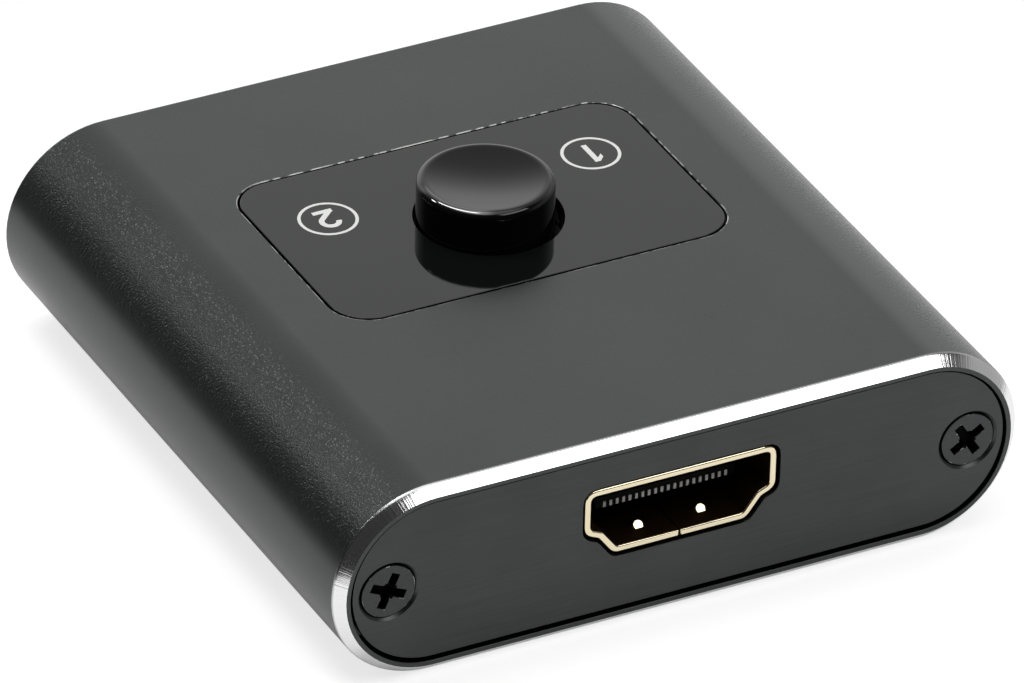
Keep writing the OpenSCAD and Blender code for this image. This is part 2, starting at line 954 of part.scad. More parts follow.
module resistors() {
    color("#202022")
        for (i = [0:row_part_count - 1], s = [-1, 1])
            small_part([s * (row_start + i * small_pitch), chip_y - resistor_front],
                       [small_w, small_l, small_w / 2]);
}

module surge_arrays() {
    color("#18181a")
        for (k = [-1, 1]) {
            small_part([k * surge_size.x, surge_y], surge_size);
            for (x = [-rear_port_x, rear_port_x])
                small_part([x + k * surge_size.x, -surge_y], surge_size);
        }
}

module indicator_lights() {
    color("#e9ecd8")
        for (s = [-1, 1])
            small_part([s * light_x, button_y + light_y], light_size);
}

sleeve();
front_plate();
rear_plate();
front_screws();
rear_screws();
top_panel();
button_cap();
switch_plunger();
moving_contacts();
latch_pin();
return_spring();
switch_housing();
switch_base();
switch_terminals();
circuit_board();
front_port_shell();
front_port_insulator();
front_port_contacts();
left_port_shell();
left_port_insulator();
left_port_contacts();
right_port_shell();
right_port_insulator();
right_port_contacts();
routing_chip();
regulator();
capacitors();
resistors();
surge_arrays();
indicator_lights();
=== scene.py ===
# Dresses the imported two-way switch box: finishes, softened edges, printed figures and a plain studio.
import json
from math import asin, cos, pi, radians, sin, tan

import bmesh
import bpy
from mathutils import Matrix, Quaternion, Vector


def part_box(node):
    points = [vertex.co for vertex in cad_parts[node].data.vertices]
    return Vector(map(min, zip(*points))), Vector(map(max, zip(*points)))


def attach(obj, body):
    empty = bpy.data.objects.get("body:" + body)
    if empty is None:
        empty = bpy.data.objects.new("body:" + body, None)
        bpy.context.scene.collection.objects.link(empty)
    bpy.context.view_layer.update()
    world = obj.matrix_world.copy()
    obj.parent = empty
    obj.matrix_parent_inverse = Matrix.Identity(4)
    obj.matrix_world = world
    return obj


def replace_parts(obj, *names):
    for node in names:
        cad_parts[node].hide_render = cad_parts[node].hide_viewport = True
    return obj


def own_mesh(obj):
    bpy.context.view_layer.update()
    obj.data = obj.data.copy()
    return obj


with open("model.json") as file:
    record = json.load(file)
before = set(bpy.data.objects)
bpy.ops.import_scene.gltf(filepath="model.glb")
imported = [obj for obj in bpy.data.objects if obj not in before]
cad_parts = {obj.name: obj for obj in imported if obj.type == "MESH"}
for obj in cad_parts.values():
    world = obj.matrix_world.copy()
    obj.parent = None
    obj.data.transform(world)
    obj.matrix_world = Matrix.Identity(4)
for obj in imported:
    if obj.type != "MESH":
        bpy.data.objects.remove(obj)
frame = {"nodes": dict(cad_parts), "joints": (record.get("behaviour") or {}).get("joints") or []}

MM = 0.001
WELD = 0.0005 * MM
X, Y, Z = range(3)
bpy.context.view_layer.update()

# Places read from the frame, in metres
sleeve_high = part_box("sleeve")[1]
end_y = sleeve_high.y
top_z = sleeve_high.z
side_r = top_z / 2
arc_x = sleeve_high.x - side_r
plate_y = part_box("rear_plate")[1].y
screw_low, screw_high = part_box("rear_screws")
screw_y = screw_high.y
screw_z = (screw_low.z + screw_high.z) / 2
screw_x = screw_high.x - (screw_high.z - screw_low.z) / 2
lip_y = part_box("left_port_shell")[1].y
tongue_y = -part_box("front_port_insulator")[0].y
port_half_h = 2.8 * MM
port_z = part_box("front_port_shell")[1].z - port_half_h
panel_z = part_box("top_panel")[1].z
cap_low, cap_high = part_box("button_cap")
cap_x = (cap_low.x + cap_high.x) / 2
cap_y = (cap_low.y + cap_high.y) / 2
spring_low, spring_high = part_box("return_spring")
light_low, light_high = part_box("indicator_lights")
travel = next(j["range_m"][1] for j in frame["joints"] if j["name"] == "button_press")


# Shading

class Shade:
    """A socket of a node tree. Sums on it add Math nodes, and node() adds any other node."""

    def __init__(self, tree, socket=None):
        self.tree = tree
        self.socket = socket

    def node(self, kind, settings=None, sockets=None, output=0):
        made = self.tree.nodes.new("ShaderNode" + kind)
        for name, value in (settings or {}).items():
            setattr(made, name, value)
        for name, value in (sockets or {}).items():
            self.feed(made.inputs[name], value)
        return Shade(self.tree, made.outputs[output])

    def feed(self, socket, value):
        if isinstance(value, Shade):
            self.tree.links.new(value.socket, socket)
        else:
            socket.default_value = value

    def math(self, operation, *values):
        return self.node("Math", {"operation": operation}, dict(enumerate(values)))

    def __add__(self, other):
        return self.math("ADD", self, other)

    def __radd__(self, other):
        return self.math("ADD", other, self)

    def __sub__(self, other):
        return self.math("SUBTRACT", self, other)

    def __rsub__(self, other):
        return self.math("SUBTRACT", other, self)

    def __mul__(self, other):
        return self.math("MULTIPLY", self, other)

    def __rmul__(self, other):
        return self.math("MULTIPLY", other, self)

    def __truediv__(self, other):
        return self.math("DIVIDE", self, other)

    def __pow__(self, other):
        return self.math("POWER", self, other)

    def __abs__(self):
        return self.math("ABSOLUTE", self)

    def at_least(self, low):
        return self.math("MAXIMUM", self, low)

    def at_most(self, high):
        return self.math("MINIMUM", self, high)

    def step(self, low, high):
        """0 below low, 1 above high, and a soft rise between them."""
        return self.node("MapRange", {"interpolation_type": "SMOOTHSTEP"},
                         {"Value": self, "From Min": low, "From Max": high})

    def mix(self, start, end):
        """The colour start where this is 0, and end where it is 1."""
        factor, colour_a, colour_b, colour_out = 0, 6, 7, 2
        start, end = [c if isinstance(c, Shade) else (*c, 1) for c in (start, end)]
        return self.node("Mix", {"data_type": "RGBA"},
                         {factor: self, colour_a: start, colour_b: end}, output=colour_out)

    def axes(self):
        return [self.node("SeparateXYZ", sockets={0: self}, output=axis) for axis in (X, Y, Z)]

    def light_path(self, kind):
        """1 for light of one kind, such as what the camera sees, and 0 for the rest."""
        return self.node("LightPath", output=kind)


class Finish(Shade):
    """A material with one Principled shader, on the piece's own Object coordinates."""

    def __init__(self, name, **constants):
        self.material = bpy.data.materials.new(name)
        self.material.use_nodes = True
        super().__init__(self.material.node_tree)
        self.shader = self.tree.nodes["Principled BSDF"]
        self.place = self.node("TexCoord", output="Object")
        for name, value in constants.items():
            self.paint(name.replace("_", " ").title().replace("Ior", "IOR"), value)

    def paint(self, socket, value):
        self.feed(self.shader.inputs[socket], value)

    def scaled(self, size, stretch=(1, 1, 1)):
        """Object coordinates in units of size millimetres, stretched along the axes."""
        return self.node("Mapping", sockets={"Vector": self.place,
                                             "Scale": [1 / (size * MM * s) for s in stretch]})

    def noise(self, size, detail=2, stretch=(1, 1, 1)):
        """Cloudy values round 0.5 with lumps of about size millimetres."""
        return self.node("TexNoise", sockets={"Vector": self.scaled(size, stretch), "Scale": 1,
                                              "Detail": detail})

    def specks(self, size):
        """Distance from the middles of scattered cells of about size millimetres."""
        return self.node("TexVoronoi", sockets={"Vector": self.scaled(size), "Scale": 1})

    def mark(self, name):
        """The value of one of the mesh's own attributes."""
        return self.node("Attribute", {"attribute_name": name}, output="Fac")

    def bump(self, height, depth):
        """Raises the surface by height times depth millimetres."""
        self.paint("Normal", self.node("Bump", sockets={"Height": height, "Distance": depth * MM}))


def sleeve_anodise():
    """Dark blasted anodise, coarser round its shoulders, with the bevels at the ends turned bright."""
    f = Finish("sleeve_anodise", metallic=1)
    grain = f.noise(0.17, detail=3)
    clouds = f.noise(9, detail=3)
    pits = f.specks(0.24).at_most(0.36)
    cut = f.mark("bright_cut")
    rubbed = f.mark("worn") * f.noise(0.7).step(0.42, 0.58)
    line_w = 0.16 * MM
    x, _, z = f.place.axes()
    out = (abs(x) - arc_x).at_least(0)
    coarse = out.step(1 * MM, 3 * MM) * (z - side_r).step(2.6 * MM, 5 * MM)
    round_the_end = side_r * f.math("ARCTAN2", z - side_r, out) - abs(x).at_most(arc_x)
    lines = f.node("TexNoise", {"noise_dimensions": "1D"},
                   {"W": round_the_end / line_w, "Scale": 1, "Detail": 2})
    dark = (clouds * 0.5 + grain * 0.5).mix((0.060, 0.063, 0.062), (0.090, 0.094, 0.0925))
    bright = lines.mix((0.88, 0.88, 0.89), (0.97, 0.97, 0.97))
    f.paint("Base Color", cut.mix(rubbed.mix(dark, (0.5, 0.5, 0.49)), bright))
    blasted = 0.25 + clouds * 0.04 + grain * 0.04
    turned = 0.08 + lines * 0.14
    f.paint("Roughness", blasted + cut * (turned - blasted))
    blasted_relief = (pits * 0.9 + grain * 0.4) * coarse + grain * 0.08
    f.bump(blasted_relief * (1 - cut) + lines * cut * 0.2, 0.057)
    return f.material


def plate_black():
    """Black anodise over faint level brushing, a little paler along its edges."""
    f = Finish("plate_black", metallic=1)
    brushing = f.noise(0.16, detail=3, stretch=(40, 1, 1))
    clouds = f.noise(4, detail=3)
    worn = f.mark("worn") * f.noise(0.5).step(0.5, 0.7)
    black = (clouds * 0.4 + brushing * 0.6).mix((0.050, 0.0525, 0.0515), (0.094, 0.097, 0.096))
    f.paint("Base Color", (worn * 0.25).mix(black, (0.20, 0.20, 0.21)))
    f.paint("Roughness", 0.30 + brushing * 0.12)
    f.bump(brushing, 0.0012)
    return f.material


def screw_black():
    """Blackened steel, rubbed bright in a few spots along its corners, with painted shade in its recess.
    """
    f = Finish("screw_black", metallic=1)
    grain = f.noise(0.18, detail=3)
    rubbed = f.mark("worn") * f.noise(0.35, detail=3).step(0.56, 0.66)
    # Painted shade: the recess is darkened to near black and made duller.
    recess_shade = f.mark("recess")
    black = grain.mix((0.050, 0.051, 0.052), (0.086, 0.088, 0.089))
    metal = rubbed.mix(black, (0.62, 0.62, 0.61))
    f.paint("Base Color", recess_shade.mix(metal, (0.006, 0.006, 0.006)))
    f.paint("Roughness", 0.26 + grain * 0.16 + recess_shade * 0.25)
    f.bump(grain, 0.006)
    return f.material


def panel_gloss():
    """Back-painted clear sheet: deep black under a polished face, with a few hairlines."""
    f = Finish("panel_gloss", IOR=1.49)
    wave = f.noise(4)
    hairline = f.noise(0.03, stretch=(1, 60, 1)).step(0.66, 0.78)
    worn = f.mark("worn")
    black = wave.mix((0.0042, 0.0054, 0.0048), (0.0054, 0.0066, 0.0060))
    f.paint("Base Color", (worn * 0.5).mix(black, (0.03, 0.03, 0.03)))
    f.paint("Roughness", 0.025 + wave * 0.02 + hairline * 0.05 + worn * 0.1)
    f.bump(wave, 0.0008)
    return f.material


def cap_gloss():
    """Moulded gloss black, dulled in the dish by fingers and polished by the thumb at one edge."""
    thumb_x, thumb_y = 0.875, 0.485
    f = Finish("cap_gloss", IOR=1.4, coat_ior=2.2, coat_roughness=0.04)
    wave = f.noise(2.5)
    x, y, _ = f.place.axes()
    from_middle = ((x - cap_x) ** 2 + (y - cap_y) ** 2) ** 0.5
    rub = 1 - from_middle.step(1 * MM, 4.5 * MM)
    at_thumb = ((cap_x - x) * thumb_x + (cap_y - y) * thumb_y) / from_middle.at_least(0.1 * MM)
    edge = from_middle.step(4.3 * MM, 4.5 * MM) * (1 - from_middle.step(4.78 * MM, 4.9 * MM))
    f.paint("Coat Weight", edge * (0.1 + at_thumb.step(0.72, 0.9) * 0.9))
    f.paint("Base Color", wave.mix((0.0026, 0.0026, 0.0028), (0.0046, 0.0046, 0.0049)))
    f.paint("Roughness", 0.03 + wave * 0.025 + rub * f.noise(0.4, detail=4) * 0.05)
    f.bump(wave, 0.0015)
    return f.material


def shell_gilt():
    """Thin gold plating on drawn sheet, with painted shade darkening it deep inside."""
    f = Finish("shell_gilt", metallic=1)
    drawn = f.noise(0.12, stretch=(1, 14, 1))
    tint = f.noise(1.6)
    # Painted shade: walls deep inside the port are darkened to a dull brown-black and made rougher.
    inside_shade = f.mark("inside_shade")
    gold = tint.mix((0.95, 0.82, 0.54), (0.99, 0.90, 0.68))
    f.paint("Base Color", inside_shade.mix(gold, (0.110, 0.060, 0.024)))
    f.paint("Roughness", 0.10 + drawn * 0.08 + inside_shade * 0.3)
    f.bump(drawn, 0.0008)
    return f.material


def contact_gilt():
    """Gold flash on stamped contacts, duller along the wiped face."""
    f = Finish("contact_gilt", metallic=1)
    wiped = f.noise(0.2, stretch=(1, 10, 1))
    f.paint("Base Color", wiped.mix((0.80, 0.60, 0.30), (0.95, 0.78, 0.46)))
    f.paint("Roughness", 0.18 + wiped * 0.2)
    return f.material


def insulator_black():
    """Glass-filled moulding: near black, with pale flecks of fibre."""
    f = Finish("insulator_black", IOR=1.15)
    fleck = f.noise(0.08, stretch=(3, 1, 1)).step(0.62, 0.75)
    flow = f.noise(1.2)
    black = flow.mix((0.003, 0.003, 0.003), (0.006, 0.006, 0.006))
    f.paint("Base Color", (fleck * 0.3).mix(black, (0.02, 0.02, 0.02)))
    f.paint("Roughness", 0.50 + flow * 0.16)
    f.bump(flow, 0.01)
    return f.material


def print_white():
    """Screen-printed off-white ink with a slightly uneven coat."""
    f = Finish("print_white", IOR=1.45)
    coat = f.noise(0.16, detail=3)
    f.paint("Base Color", coat.mix((0.78, 0.79, 0.77), (0.90, 0.91, 0.89)))
    f.paint("Roughness", 0.4 + coat * 0.2)
    f.bump(coat, 0.004)
    return f.material


def board_green():
    """Solder mask over copper tracks, with the tracks standing up a little."""
    f = Finish("board_green", IOR=1.5)
    pitch_x = 0.9 * MM
    pitch_y = 0.7 * MM
    x, y, _ = f.place.axes()
    across = f.math("PINGPONG", x / pitch_x, 0.5)
    along = f.math("PINGPONG", y / pitch_y, 0.5)
    turn = f.noise(5).step(0.48, 0.52)
    track = (across + turn * (along - across)).step(0.20, 0.26)
    f.paint("Base Color", track.mix((0.008, 0.050, 0.022), (0.016, 0.095, 0.040)))
    f.paint("Roughness", 0.28 + f.noise(0.3) * 0.15)
    f.bump(track, 0.02)
    return f.material


def moulded(name, dark, pale, roughness, size=0.25):
    """A plain moulded piece: a clouded colour over a fine grain."""
    f = Finish(name, IOR=1.5)
    grain = f.noise(size, detail=3)
    f.paint("Base Color", (grain * 0.5 + f.noise(size * 8) * 0.5).mix(dark, pale))
    f.paint("Roughness", roughness + grain * 0.12)
    f.bump(grain, 0.006)
    return f.material


def drawn_metal(name, dark, pale, roughness):
    """Stamped strip or wire, with faint drawing marks."""
    f = Finish(name, metallic=1)
    marks = f.noise(0.06, stretch=(1, 1, 12))
    f.paint("Base Color", marks.mix(dark, pale))
    f.paint("Roughness", roughness + marks * 0.15)
    return f.material


# Mesh tools

def in_scene(name, data):
    """A new object in the scene."""
    made = bpy.data.objects.new(name, data)
    bpy.context.scene.collection.objects.link(made)
    return made


def new_piece(bm, name, body, material):
    """Makes the object of a finished bmesh, with smooth shading that keeps flat faces flat."""
    sharp = radians(35)
    for face in bm.faces:
        face.smooth = True
    for edge in bm.edges:
        edge.smooth = not edge.is_manifold or edge.calc_face_angle() < sharp
    mesh = bpy.data.meshes.new(name)
    bm.to_mesh(mesh)
    bm.free()
    mesh.materials.append(material)
    piece = in_scene(name, mesh)
    flat = piece.modifiers.new("flat faces stay flat", "WEIGHTED_NORMAL")
    flat.weight = 100
    flat.keep_sharp = True
    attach(piece, body)
    return piece


def merged_copy(node):
    """A CAD node's mesh as whole faces, with its triangles joined."""
    bm = bmesh.new()
    bm.from_mesh(frame["nodes"][node].data)
    bmesh.ops.remove_doubles(bm, verts=bm.verts, dist=WELD)
    bmesh.ops.dissolve_limit(bm, angle_limit=radians(0.3), verts=bm.verts, edges=bm.edges)
    return bm


def soften(bm, axis, level, width, sharpest=60, wear=1):
    """Rounds the outer corners in one flat level by width millimetres, and marks how worn they are."""
    worn = bm.faces.layers.float.get("worn") or bm.faces.layers.float.new("worn")
    near = 0.002 * MM
    edges = [e for e in bm.edges
             if e.is_manifold and e.calc_face_angle_signed() > radians(sharpest)
             and all(abs(v.co[axis] - level) < near for v in e.verts)]
    made = bmesh.ops.bevel(bm, geom=edges, offset=width * MM, offset_type="OFFSET", segments=3,
                           profile=0.5, affect="EDGES", material=-1, clamp_overlap=False)
    for face in made["faces"]:
        face[worn] = wear


def dressed(node, material, axis, level, width):
    """A copy of a CAD node with the corners round one face softened, which stands for the node."""
    bm = merged_copy(node)
    soften(bm, axis, level, width)
    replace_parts(new_piece(bm, node + "_dressed", "case", material), node)


# Pieces

def looks_out(face):
    """Whether a face of the sleeve looks away from the middle of the tube."""
    place = face.calc_center_median()
    middle = Vector((max(-arc_x, min(arc_x, place.x)), place.y, side_r))
    return face.normal.dot(place - middle) > 0


def dressed_sleeve(material):
    """The sleeve, with soft corners, and its end bevels marked for the bright cut."""
    bevel_w = 0.75 * MM
    bevel_slant = 0.7
    flat_slant = 0.8
    bm = merged_copy("sleeve")
    for side in (-1, 1):
        soften(bm, Y, side * end_y, width=0.06, wear=0)
        soften(bm, Y, side * (end_y - bevel_w), width=0.12, sharpest=30, wear=0)
    soften(bm, Z, top_z, width=0.1)
    cut = bm.faces.layers.float.new("bright_cut")
    for face in bm.faces:
        at_end = abs(face.calc_center_median().y) > end_y - 1.2 * bevel_w
        slant = abs(face.normal.y)
        on_bevel = at_end and slant < flat_slant and looks_out(face)
        face[cut] = min(slant / bevel_slant, 1) if on_bevel else 0
    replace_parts(new_piece(bm, "sleeve_dressed", "case", material), "sleeve")


def dressed_screws(node, side, material):
    """A pair of screws with rubbed corners, and the recesses marked for painted shade."""
    recess_r = 1.45 * MM
    recess_top = 0.06 * MM
    recess_floor = 1 * MM
    bm = merged_copy(node)
    soften(bm, Y, side * screw_y, width=0.05)
    recess = bm.faces.layers.float.new("recess")
    for face in bm.faces:
        place = face.calc_center_median()
        depth = screw_y - abs(place.y)
        from_axis = Vector((abs(place.x) - screw_x, place.z - screw_z)).length
        # Recess faces are marked for painted shade, which darkens them to near black.
        face[recess] = 1 if recess_top < depth < recess_floor and from_axis < recess_r else 0
    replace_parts(new_piece(bm, node + "_dressed", "case", material), node)


def dressed_shell(port, side, material):
    """A port's shell with a rounded lip, soft flats on its grip bumps, and painted shade deep inside."""
    least_flat = 0.3 * MM * MM
    shade_start_depth = 0.2 * MM
    node = port + "_port_shell"
    low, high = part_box(node)
    middle = (low + high) / 2
    bm = merged_copy(node)
    soften(bm, Y, side * lip_y, width=0.12)
    slant = Vector((0, side, 1)).normalized()
    flats = [f for f in bm.faces if f.normal.dot(slant) > 0.999 and f.calc_area() > least_flat]
    bmesh.ops.bevel(bm, geom=list({e for f in flats for e in f.edges}), offset=0.05 * MM, segments=3,
                    profile=0.5, affect="EDGES", material=-1)
    # Inward level walls deeper than the lip are marked for painted shade.
    inside_shade = bm.faces.layers.float.new("inside_shade")
    for face in bm.faces:
        place = face.calc_center_median()
        inward = face.normal.dot(Vector((middle.x, place.y, port_z)) - place) > 0
        level = abs(face.normal.y) < 0.02
        face[inside_shade] = 1 if inward and level and lip_y - abs(place.y) > shade_start_depth else 0
    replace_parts(new_piece(bm, node + "_dressed", "case", material), node)


def tongue_ribs(port, side, material):
    """The ribs between the contacts, which show in the front of a port's tongue."""
    count = 20
    pitch = 0.5 * MM
    rib = Vector((0.22, 0.08, 0.46)) * MM
    below_shell_top = 2.98 * MM
    low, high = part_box(port + "_port_shell")
    middle = Vector(((low.x + high.x) / 2, side * tongue_y, high.z - below_shell_top))
    bm = bmesh.new()
    for i in range(count):
        place = middle + Vector(((i - (count - 1) / 2) * pitch, 0, 0))
        bmesh.ops.create_cube(bm, size=1, matrix=Matrix.LocRotScale(place, None, rib))
    bmesh.ops.bevel(bm, geom=bm.edges, offset=0.03 * MM, segments=2, profile=0.5,
                    affect="EDGES", material=-1)
    new_piece(bm, port + "_port_ribs", "case", material)


def turned_cap(material):
    """The push button, turned from its outline: dish, round edge, side, rim and hollow."""
    cap_r = 4.95 * MM
    edge_r = 0.5 * MM
    land = 0.16 * MM
    dish_r = cap_r - edge_r - land
    dish_depth = 0.4 * MM
    rim_r = cap_high.x - cap_x
    rim_top = cap_low.z + 0.7 * MM
    rim_edge_r = 0.1 * MM
    inside_r = 4.3 * MM
    ceiling = cap_high.z - 1.2 * MM
    socket_r = 2.52 * MM
    hole_r = 2.16 * MM
    socket_low = 14.9 * MM
    ball_r = (dish_r ** 2 + dish_depth ** 2) / (2 * dish_depth)
    ball = Vector((0, 0, cap_high.z - dish_depth + ball_r))
    bm = bmesh.new()
    start = bm.verts.new((0, 0, cap_high.z - dish_depth))
    dish = bmesh.ops.spin(bm, geom=[start], cent=ball, axis=(0, -1, 0),
                          angle=asin((dish_r - land) / ball_r), steps=24)
    last = next(v for v in dish["geom_last"] if isinstance(v, bmesh.types.BMVert))
    corners = {}
    for r, z in ((dish_r, cap_high.z), (cap_r, cap_high.z), (cap_r, rim_top), (rim_r, rim_top),
                 (rim_r, cap_low.z), (inside_r, cap_low.z), (inside_r, ceiling), (socket_r, ceiling),
                 (socket_r, socket_low), (hole_r, socket_low), (hole_r, ceiling), (0, ceiling)):
        corner = bm.verts.new((r, 0, z))
        bm.edges.new((last, corner))
        corners[r, z] = corner
        last = corner
    bmesh.ops.bevel(bm, geom=[corners[cap_r, cap_high.z]], offset=edge_r, segments=14, profile=0.5,
                    affect="VERTICES", material=-1)
    bmesh.ops.bevel(bm, geom=[corners[dish_r, cap_high.z]], offset=0.9 * land, segments=8, profile=0.5,
                    affect="VERTICES", material=-1)
    bmesh.ops.bevel(bm, geom=[corners[rim_r, rim_top], corners[rim_r, cap_low.z]], offset=rim_edge_r,
                    segments=3, profile=0.5, affect="VERTICES", material=-1)
    bmesh.ops.spin(bm, geom=bm.verts[:] + bm.edges[:], cent=(0, 0, 0), axis=(0, 0, 1), angle=2 * pi,
                   steps=144, use_merge=True)
    bmesh.ops.remove_doubles(bm, verts=bm.verts, dist=WELD)
    bmesh.ops.recalc_face_normals(bm, faces=bm.faces)
    bmesh.ops.translate(bm, verts=bm.verts, vec=(cap_x, cap_y, 0))
    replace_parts(new_piece(bm, "button_cap_turned", "button", material), "button_cap")


def wound_spring(material):
    """The return spring, wound as one wire."""
    wire = 0.2 * MM
    turns = 5
    steps_per_turn = 32
    mid_r = (spring_high.x - spring_low.x - wire) / 2
    middle = ((spring_low.x + spring_high.x) / 2, (spring_low.y + spring_high.y) / 2,
              spring_low.z + wire / 2)
    height = spring_high.z - spring_low.z
    rise = height - wire
    bm = bmesh.new()
    on_edge = Matrix.Translation((mid_r, 0, 0)) @ Matrix.Rotation(pi / 2, 4, "X")
    section = bmesh.ops.create_circle(bm, segments=10, radius=wire / 2, matrix=on_edge)
    steps = turns * steps_per_turn
    bmesh.ops.spin(bm, geom=section["verts"] + bm.edges[:], cent=(0, 0, 0), axis=(0, 0, 1),
                   dvec=(0, 0, rise / steps), angle=2 * pi * turns, steps=steps)
    bmesh.ops.holes_fill(bm, edges=bm.edges)
    bmesh.ops.recalc_face_normals(bm, faces=bm.faces)
    bmesh.ops.translate(bm, verts=bm.verts, vec=middle)
    spring = new_piece(bm, "return_spring_wound", "case", material)
    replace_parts(spring, "return_spring")
    1 - travel / height
    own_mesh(spring)


FIGURE_H = 2.4 * MM
STROKE = 0.41 * MM
PRINT_T = 0.012 * MM


def ribbon(bm, inner, outer):
    """One edge across a printed stroke."""
    return bm.edges.new((bm.verts.new(inner), bm.verts.new(outer)))


def drawn_bar(bm, start, end):
    """A straight printed stroke, given the two ends of its first and last edge."""
    edge = ribbon(bm, *start)
    made = bmesh.ops.extrude_edge_only(bm, edges=[edge])["geom"]
    for vert, place in zip([v for v in made if isinstance(v, bmesh.types.BMVert)], end):
        vert.co = place


def ring(bm):
    """The printed ring round a figure."""
    outer_r = 2.18 * MM
    line_w = 0.24 * MM
    edge = ribbon(bm, (outer_r - line_w, 0, 0), (outer_r, 0, 0))
    bmesh.ops.spin(bm, geom=[edge, *edge.verts], cent=(0, 0, 0), axis=(0, 0, 1), angle=2 * pi, steps=72,
                   use_merge=True)


def figure_one(bm):
    """A stem with a slanting flag."""
    half = STROKE / 2
    top = FIGURE_H / 2
    flag_x = -0.62 * MM
    drawn_bar(bm, ((-half, -top, 0), (half, -top, 0)), ((-half, top, 0), (half, top, 0)))
    drawn_bar(bm, ((-half, top, 0), (-half, top - 1.15 * STROKE, 0)),
              ((flag_x, top - 1.1 * STROKE, 0), (flag_x, top - 2.2 * STROKE, 0)))


def figure_two(bm):
    """A bowl that runs out into a slanting stroke, on a level foot."""
    half = STROKE / 2
    top = FIGURE_H / 2
    bowl_r = 0.62 * MM
    bowl_y = top - half - bowl_r
    start = radians(172)
    finish = radians(-48)
    foot_x = 0.76 * MM
    edge = ribbon(bm, *[(r * cos(start), bowl_y + r * sin(start), 0)
                        for r in (bowl_r - half, bowl_r + half)])
    bowl = bmesh.ops.spin(bm, geom=[edge, *edge.verts], cent=(0, bowl_y, 0), axis=(0, 0, 1),
                          angle=finish - start, steps=24)
    last = [e for e in bowl["geom_last"] if isinstance(e, bmesh.types.BMEdge)]
    made = bmesh.ops.extrude_edge_only(bm, edges=last)["geom"]
    for vert in [v for v in made if isinstance(v, bmesh.types.BMVert)]:
        drop = vert.co.y - (STROKE - top)
        vert.co += Vector((drop * tan(finish), -drop, 0))
    drawn_bar(bm, ((-foot_x, -top, 0), (-foot_x, STROKE - top, 0)),
              ((foot_x, -top, 0), (foot_x, STROKE - top, 0)))


def printed(name, draw, x, y, material):
    """A figure in its ring, printed on the panel to be read from the rear."""
    bm = bmesh.new()
    draw(bm)
    bmesh.ops.rotate(bm, verts=bm.verts, cent=(0, 0, 0), matrix=Matrix.Rotation(pi, 3, "Z"))
    ring(bm)
    bmesh.ops.translate(bm, verts=bm.verts, vec=(x, y, panel_z))
    for face in bm.faces:
        if face.normal.z < 0:
            face.normal_flip()
    bmesh.ops.solidify(bm, geom=bm.faces[:], thickness=-PRINT_T)
    new_piece(bm, name, "case", material)


# Studio

def softbox(name, toward, distance, width, height, radiance, turn=0):
    """A soft rectangular light that shines on the box from one direction, turned about that direction."""
    light = bpy.data.lights.new(name, "AREA")
    light.shape = "RECTANGLE"
    light.size = width
    light.size_y = height
    light.energy = radiance * pi * width * height
    lamp = in_scene(name, light)
    toward = Vector(toward).normalized()
    lamp.location = Vector((0, 0, side_r)) + toward * distance
    lamp.rotation_euler = (toward.to_track_quat("Z", "Y") @ Quaternion((0, 0, 1), turn)).to_euler()
    lamp.visible_camera = False


def studio_world():
    """A pale backdrop, a ceiling and a wall on the right in a dim room, all white to the camera."""
    backdrop_x, backdrop_y = 0.174, 0.985
    world = bpy.data.worlds.new("studio")
    world.use_nodes = True
    bpy.context.scene.world = world
    root = Shade(world.node_tree)
    x, y, z = root.node("TexCoord", output="Generated").axes()
    level_run = ((x * x + y * y) ** 0.5).at_least(0.001)
    facing = (x * backdrop_x + y * backdrop_y) / level_run
    backdrop = facing.step(0.67, 0.95) * (1 - z.step(0.34, 0.69))
    ceiling = z.step(0.12, 0.42) * y.step(-0.25, 0.35) * x.step(-0.35, 0.2) * 0.4
    overhead = z.step(0.82, 0.95) * 1.2
    wall = x.step(0.6, 0.9) * (1 - z.step(0.3, 0.6)) * 0.32
    room = 0.03 + y.step(-0.2, 0.4) * x.step(-0.8, -0.2) * 0.1
    seen = root.light_path("Is Camera Ray") + root.light_path("Is Transmission Ray")
    level = room + wall + ceiling + overhead + backdrop
    background = world.node_tree.nodes["Background"]
    root.feed(background.inputs["Strength"], level + seen * (1 - level))
    root.feed(background.inputs["Color"], (1, 1, 1, 1))


def studio_floor():
    """A white floor that keeps a faint shadow of the box, and is open when seen from below."""
    half_side = 66 * MM
    below_box = 0.02 * MM
    bm = bmesh.new()
    bmesh.ops.create_grid(bm, x_segments=1, y_segments=1, size=half_side,
                          matrix=Matrix.Translation((0, 0, -below_box)))
    mesh = bpy.data.meshes.new("floor")
    bm.to_mesh(mesh)
    bm.free()
    material = bpy.data.materials.new("floor_white")
    material.use_nodes = True
    root = Shade(material.node_tree)
    seen = root.light_path("Is Camera Ray") + root.light_path("Is Transmission Ray")
    mirrored = root.light_path("Is Glossy Ray")
    lit = root.node("BsdfDiffuse", sockets={"Color": (0.92, 0.92, 0.92, 1)})
    white = root.node("Emission", sockets={"Color": (1, 1, 1, 1), "Strength": 1.65})
    floor_shade = root.node("MixShader", sockets={0: seen * 0.45 + mirrored * 0.13, 1: lit, 2: white})
    below = root.node("NewGeometry", output="Backfacing")
    clear = root.node("BsdfTransparent")
    one_sided = root.node("MixShader", sockets={0: below, 1: floor_shade, 2: clear})
    root.feed(material.node_tree.nodes["Material Output"].inputs["Surface"], one_sided)
    mesh.materials.append(material)
    floor = in_scene("floor", mesh)


def photo_camera():
    """The photograph's viewpoint: above the front and to the left, through a long lens."""
    look_right, look_down, lean = radians(27.85), radians(32.389), radians(1.489)
    camera = bpy.data.cameras.new("photo_view")
    camera.sensor_width = 36
    camera.lens = 449.58
    view = in_scene("photo_view", camera)
    view.location = Vector((-357.19, -677.10, 492.05)) * MM
    turn = Matrix.Rotation(-look_right, 3, "Z")
    tilt = Matrix.Rotation(pi / 2 - look_down, 3, "X")
    roll = Matrix.Rotation(lean, 3, "Z")
    view.rotation_euler = (turn @ tilt @ roll).to_euler()
    bpy.context.scene.camera = view


# Assembly

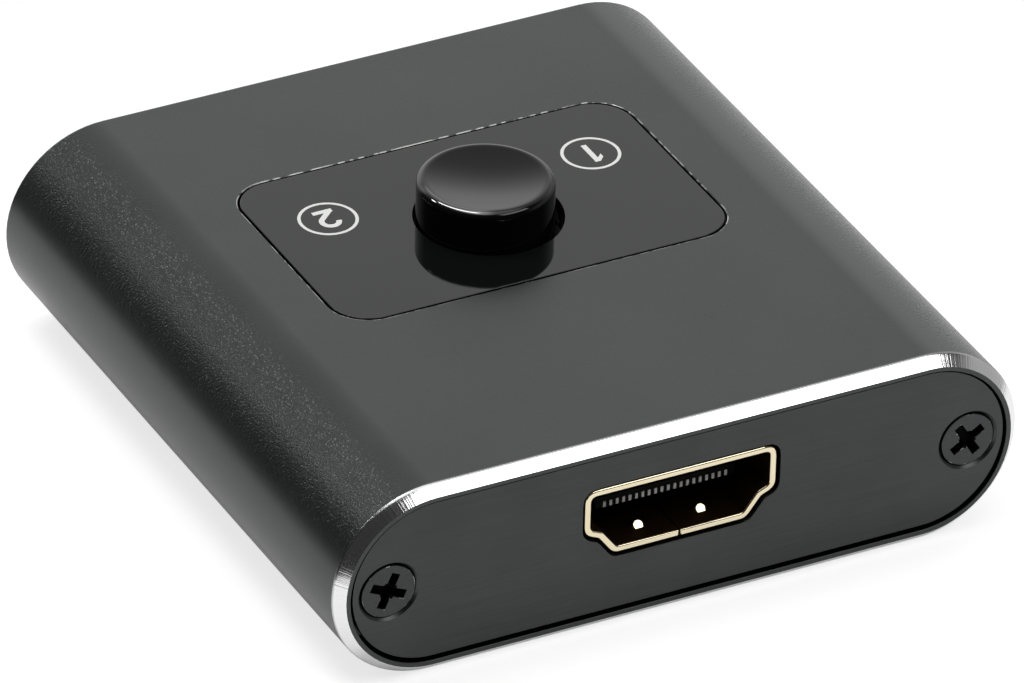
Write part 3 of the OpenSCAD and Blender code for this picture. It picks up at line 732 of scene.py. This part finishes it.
dressed_sleeve(sleeve_anodise())
plate = plate_black()
screw = screw_black()
gilt = shell_gilt()
insulator = insulator_black()
ribs = moulded("rib_grey", (0.60, 0.60, 0.58), (0.86, 0.86, 0.84), roughness=0.4, size=0.1)
for end, side in (("front", -1), ("rear", 1)):
    dressed(end + "_plate", plate, Y, side * plate_y, width=0.05)
    dressed_screws(end + "_screws", side, screw)
dressed("top_panel", panel_gloss(), Z, panel_z, width=0.06)
for port, side in (("front", -1), ("left", 1), ("right", 1)):
    dressed_shell(port, side, gilt)
    dressed(port + "_port_insulator", insulator, Y, side * tongue_y, width=0.05)
    tongue_ribs(port, side, ribs)
turned_cap(cap_gloss())

steel = drawn_metal("spring_steel", (0.52, 0.52, 0.53), (0.70, 0.70, 0.71), 0.22)
brass = drawn_metal("contact_brass", (0.70, 0.52, 0.24), (0.86, 0.68, 0.36), 0.25)
chip = moulded("chip_black", (0.012, 0.012, 0.013), (0.026, 0.026, 0.027), 0.5)
kept_nodes = {
    contact_gilt(): ("front_port_contacts", "left_port_contacts", "right_port_contacts"),
    steel: ("latch_pin",),
    brass: ("moving_contacts", "switch_terminals"),
    chip: ("routing_chip", "regulator", "surge_arrays", "resistors"),
    board_green(): ("circuit_board",),
    moulded("plunger_white", (0.70, 0.69, 0.65), (0.80, 0.79, 0.76), 0.4): ("switch_plunger",),
    moulded("housing_black", (0.010, 0.010, 0.011), (0.022, 0.022, 0.023), 0.42): ("switch_housing",),
    moulded("base_brown", (0.060, 0.035, 0.020), (0.095, 0.058, 0.034), 0.45): ("switch_base",),
    moulded("capacitor_tan", (0.36, 0.24, 0.13), (0.50, 0.36, 0.21), 0.4): ("capacitors",),
    moulded("light_pale", (0.78, 0.78, 0.66), (0.90, 0.90, 0.80), 0.3): ("indicator_lights",),
}
for material, names in kept_nodes.items():
    for name in names:
        materials = frame["nodes"][name].data.materials
        materials.clear()
        materials.append(material)
wound_spring(steel)

ink = print_white()
light_half_w = 0.8 * MM
figure_y = (light_low.y + light_high.y) / 2
figure_x = light_high.x - light_half_w
printed("figure_1_print", figure_one, figure_x, figure_y, ink)
printed("figure_2_print", figure_two, -figure_x, figure_y, ink)

photo_camera()
studio_world()
studio_floor()
softbox("key_softbox", toward=(0.33, -0.56, 0.75), distance=0.6, width=0.42, height=0.17, radiance=3)
softbox("overhead_strip", toward=(-0.23, 0.27, 0.93), distance=0.7, width=0.12, height=0.44, radiance=8.5,
        turn=radians(-15))
softbox("side_lamp", toward=(-0.58, 0.53, 0.62), distance=0.8, width=0.09, height=0.09, radiance=16)
bpy.context.scene.view_settings.view_transform = "Standard"
